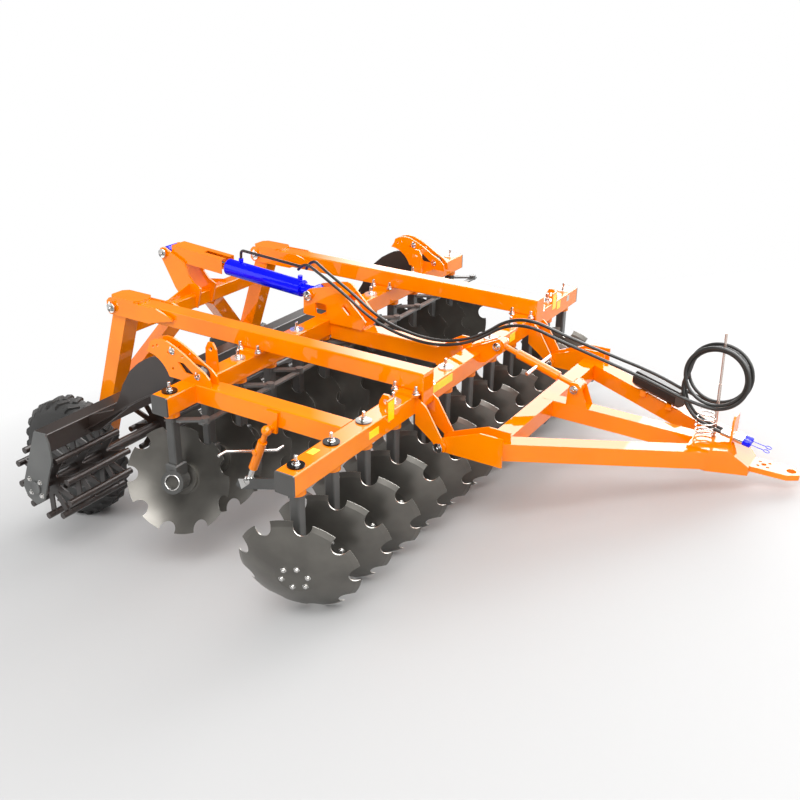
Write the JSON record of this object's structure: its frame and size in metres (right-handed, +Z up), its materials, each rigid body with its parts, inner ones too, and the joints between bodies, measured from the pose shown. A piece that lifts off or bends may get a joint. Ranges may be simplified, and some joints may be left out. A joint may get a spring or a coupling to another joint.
{
  "type": "trailed disc harrow",
  "caption": "Trailed two-row harrow with notched dished discs on single posts, rear cage roller, hydraulic transport wheels and an A-frame drawbar with towing eye.",
  "frame": {"origin": "centre of the towing eye", "axes": "+X forward in the towing direction, +Y to the machine's left, +Z up, parked nose down on its tyres and front discs"},
  "size_m": [5.3038, 3.9102, 1.7742],
  "materials": {
    "orange_paint": "gloss",
    "dark_paint": "satin",
    "disc_steel": "satin",
    "blue_paint": "gloss",
    "grey_paint": "satin",
    "bright_steel": "satin",
    "tyre_rubber": "matte",
    "hose_rubber": "satin",
    "black_plastic": "matte",
    "chrome_rod": "polished"
  },
  "bodies": {
    "frame": {"front_beam": "orange_paint", "rear_beam": "orange_paint", "beam_caps": "dark_paint", "top_beams": "orange_paint", "spine": "orange_paint", "side_beam": "orange_paint", "beam_clamps": "orange_paint", "cylinder_tower": "orange_paint", "posts": "orange_paint", "post_mounts": "orange_paint", "tie_linkage": "orange_paint", "angle_adjuster": "bright_steel", "roller_sectors": "orange_paint", "roller_frame": "dark_paint", "beam_lugs": "orange_paint", "drawbar": "orange_paint", "hitch_plate": "orange_paint", "top_link": "bright_steel", "tool_tube": "black_plastic", "hose_stand": "bright_steel", "hose_couplers": "bright_steel", "hose_a": "hose_rubber", "hose_a_coil": "hose_rubber", "hose_a_tail": "hose_rubber", "hose_b": "hose_rubber", "hose_b_coil": "hose_rubber", "hose_b_tail": "hose_rubber"},
    "disc_front_01": {"disc_front_01": "disc_steel"},
    "disc_front_02": {"disc_front_02": "disc_steel"},
    "disc_front_03": {"disc_front_03": "disc_steel"},
    "disc_front_04": {"disc_front_04": "disc_steel"},
    "disc_front_05": {"disc_front_05": "disc_steel"},
    "disc_front_06": {"disc_front_06": "disc_steel"},
    "disc_front_07": {"disc_front_07": "disc_steel"},
    "disc_front_08": {"disc_front_08": "disc_steel"},
    "disc_front_09": {"disc_front_09": "disc_steel"},
    "disc_front_10": {"disc_front_10": "disc_steel"},
    "disc_front_11": {"disc_front_11": "disc_steel"},
    "disc_front_12": {"disc_front_12": "disc_steel"},
    "disc_rear_01": {"disc_rear_01": "disc_steel"},
    "disc_rear_02": {"disc_rear_02": "disc_steel"},
    "disc_rear_03": {"disc_rear_03": "disc_steel"},
    "disc_rear_04": {"disc_rear_04": "disc_steel"},
    "disc_rear_05": {"disc_rear_05": "disc_steel"},
    "disc_rear_06": {"disc_rear_06": "disc_steel"},
    "disc_rear_07": {"disc_rear_07": "disc_steel"},
    "disc_rear_08": {"disc_rear_08": "disc_steel"},
    "disc_rear_09": {"disc_rear_09": "disc_steel"},
    "disc_rear_10": {"disc_rear_10": "disc_steel"},
    "disc_rear_11": {"disc_rear_11": "disc_steel"},
    "disc_rear_12": {"disc_rear_12": "disc_steel"},
    "wheel_frame": {"wheel_frame": "orange_paint"},
    "wheel_right": {"rim_right": "dark_paint", "tyre_right": "tyre_rubber"},
    "wheel_left": {"rim_left": "dark_paint", "tyre_left": "tyre_rubber"},
    "cylinder_barrel": {"cylinder_barrel": "blue_paint"},
    "cylinder_rod": {"cylinder_rod": "chrome_rod", "rod_lock": "orange_paint"},
    "roller": {"roller_cage": "grey_paint"}
  },
  "joints": [
    {"name": "disc_front_01_spin", "type": "hinge", "parent": "frame", "child": "disc_front_01", "pos_m": [-1.99535, -1.886, 0.22763], "axis": [0.2305, -0.9054, -0.3567], "continuous": true},
    {"name": "disc_front_02_spin", "type": "hinge", "parent": "frame", "child": "disc_front_02", "pos_m": [-1.99535, -1.586, 0.22763], "axis": [0.2305, -0.9054, -0.3567], "continuous": true},
    {"name": "disc_front_03_spin", "type": "hinge", "parent": "frame", "child": "disc_front_03", "pos_m": [-1.99535, -1.286, 0.22763], "axis": [0.2305, -0.9054, -0.3567], "continuous": true},
    {"name": "disc_front_04_spin", "type": "hinge", "parent": "frame", "child": "disc_front_04", "pos_m": [-1.99535, -0.986, 0.22763], "axis": [0.2305, -0.9054, -0.3567], "continuous": true},
    {"name": "disc_front_05_spin", "type": "hinge", "parent": "frame", "child": "disc_front_05", "pos_m": [-1.99535, -0.686, 0.22763], "axis": [0.2305, -0.9054, -0.3567], "continuous": true},
    {"name": "disc_front_06_spin", "type": "hinge", "parent": "frame", "child": "disc_front_06", "pos_m": [-1.99535, -0.386, 0.22763], "axis": [0.2305, -0.9054, -0.3567], "continuous": true},
    {"name": "disc_front_07_spin", "type": "hinge", "parent": "frame", "child": "disc_front_07", "pos_m": [-1.99535, -0.086, 0.22763], "axis": [0.2305, -0.9054, -0.3567], "continuous": true},
    {"name": "disc_front_08_spin", "type": "hinge", "parent": "frame", "child": "disc_front_08", "pos_m": [-1.99535, 0.214, 0.22763], "axis": [0.2305, -0.9054, -0.3567], "continuous": true},
    {"name": "disc_front_09_spin", "type": "hinge", "parent": "frame", "child": "disc_front_09", "pos_m": [-1.99535, 0.514, 0.22763], "axis": [0.2305, -0.9054, -0.3567], "continuous": true},
    {"name": "disc_front_10_spin", "type": "hinge", "parent": "frame", "child": "disc_front_10", "pos_m": [-1.99535, 0.814, 0.22763], "axis": [0.2305, -0.9054, -0.3567], "continuous": true},
    {"name": "disc_front_11_spin", "type": "hinge", "parent": "frame", "child": "disc_front_11", "pos_m": [-1.99535, 1.114, 0.22763], "axis": [0.2305, -0.9054, -0.3567], "continuous": true},
    {"name": "disc_front_12_spin", "type": "hinge", "parent": "frame", "child": "disc_front_12", "pos_m": [-1.99535, 1.414, 0.22763], "axis": [0.2305, -0.9054, -0.3567], "continuous": true},
    {"name": "disc_rear_01_spin", "type": "hinge", "parent": "frame", "child": "disc_rear_01", "pos_m": [-3.11103, -1.567, 0.50648], "axis": [-0.3712, 0.9054, -0.2063], "continuous": true},
    {"name": "disc_rear_02_spin", "type": "hinge", "parent": "frame", "child": "disc_rear_02", "pos_m": [-3.11103, -1.267, 0.50648], "axis": [-0.3712, 0.9054, -0.2063], "continuous": true},
    {"name": "disc_rear_03_spin", "type": "hinge", "parent": "frame", "child": "disc_rear_03", "pos_m": [-3.11103, -0.967, 0.50648], "axis": [-0.3712, 0.9054, -0.2063], "continuous": true},
    {"name": "disc_rear_04_spin", "type": "hinge", "parent": "frame", "child": "disc_rear_04", "pos_m": [-3.11103, -0.667, 0.50648], "axis": [-0.3712, 0.9054, -0.2063], "continuous": true},
    {"name": "disc_rear_05_spin", "type": "hinge", "parent": "frame", "child": "disc_rear_05", "pos_m": [-3.11103, -0.367, 0.50648], "axis": [-0.3712, 0.9054, -0.2063], "continuous": true},
    {"name": "disc_rear_06_spin", "type": "hinge", "parent": "frame", "child": "disc_rear_06", "pos_m": [-3.11103, -0.067, 0.50648], "axis": [-0.3712, 0.9054, -0.2063], "continuous": true},
    {"name": "disc_rear_07_spin", "type": "hinge", "parent": "frame", "child": "disc_rear_07", "pos_m": [-3.11103, 0.233, 0.50648], "axis": [-0.3712, 0.9054, -0.2063], "continuous": true},
    {"name": "disc_rear_08_spin", "type": "hinge", "parent": "frame", "child": "disc_rear_08", "pos_m": [-3.11103, 0.533, 0.50648], "axis": [-0.3712, 0.9054, -0.2063], "continuous": true},
    {"name": "disc_rear_09_spin", "type": "hinge", "parent": "frame", "child": "disc_rear_09", "pos_m": [-3.11103, 0.833, 0.50648], "axis": [-0.3712, 0.9054, -0.2063], "continuous": true},
    {"name": "disc_rear_10_spin", "type": "hinge", "parent": "frame", "child": "disc_rear_10", "pos_m": [-3.11103, 1.133, 0.50648], "axis": [-0.3712, 0.9054, -0.2063], "continuous": true},
    {"name": "disc_rear_11_spin", "type": "hinge", "parent": "frame", "child": "disc_rear_11", "pos_m": [-3.11103, 1.433, 0.50648], "axis": [-0.3712, 0.9054, -0.2063], "continuous": true},
    {"name": "disc_rear_12_spin", "type": "hinge", "parent": "frame", "child": "disc_rear_12", "pos_m": [-3.11103, 1.733, 0.50648], "axis": [-0.3712, 0.9054, -0.2063], "continuous": true},
    {"name": "wheel_frame_lift", "type": "hinge", "parent": "frame", "child": "wheel_frame", "pos_m": [-4.12294, 0, 1.43145], "axis": [0, 1, 0], "range_deg": [0, 56]},
    {"name": "wheel_right_roll", "type": "hinge", "parent": "wheel_frame", "child": "wheel_right", "pos_m": [-4.8015, -1, 0.37032], "axis": [0, 1, 0], "continuous": true},
    {"name": "wheel_left_roll", "type": "hinge", "parent": "wheel_frame", "child": "wheel_left", "pos_m": [-4.8015, 1, 0.37032], "axis": [0, 1, 0], "continuous": true},
    {"name": "barrel_pitch", "type": "hinge", "parent": "frame", "child": "cylinder_barrel", "pos_m": [-3.04001, 0, 1.23603], "axis": [0, 1, 0], "range_deg": [0, 7.61]},
    {"name": "rod_slide", "type": "slide", "parent": "cylinder_barrel", "child": "cylinder_rod", "axis": [0.9522, 0, -0.3054], "range_m": [0, 0.2233]},
    {"name": "roller_roll", "type": "hinge", "parent": "frame", "child": "roller", "pos_m": [-4.27399, 0, 0.47246], "axis": [0, 1, 0], "continuous": true}
  ],
  "couplings": [
    {"joint": "barrel_pitch", "follows": "wheel_frame_lift", "ratio": 0.13418},
    {"joint": "rod_slide", "follows": "wheel_frame_lift", "m_per_rad": 0.22743}
  ]
}
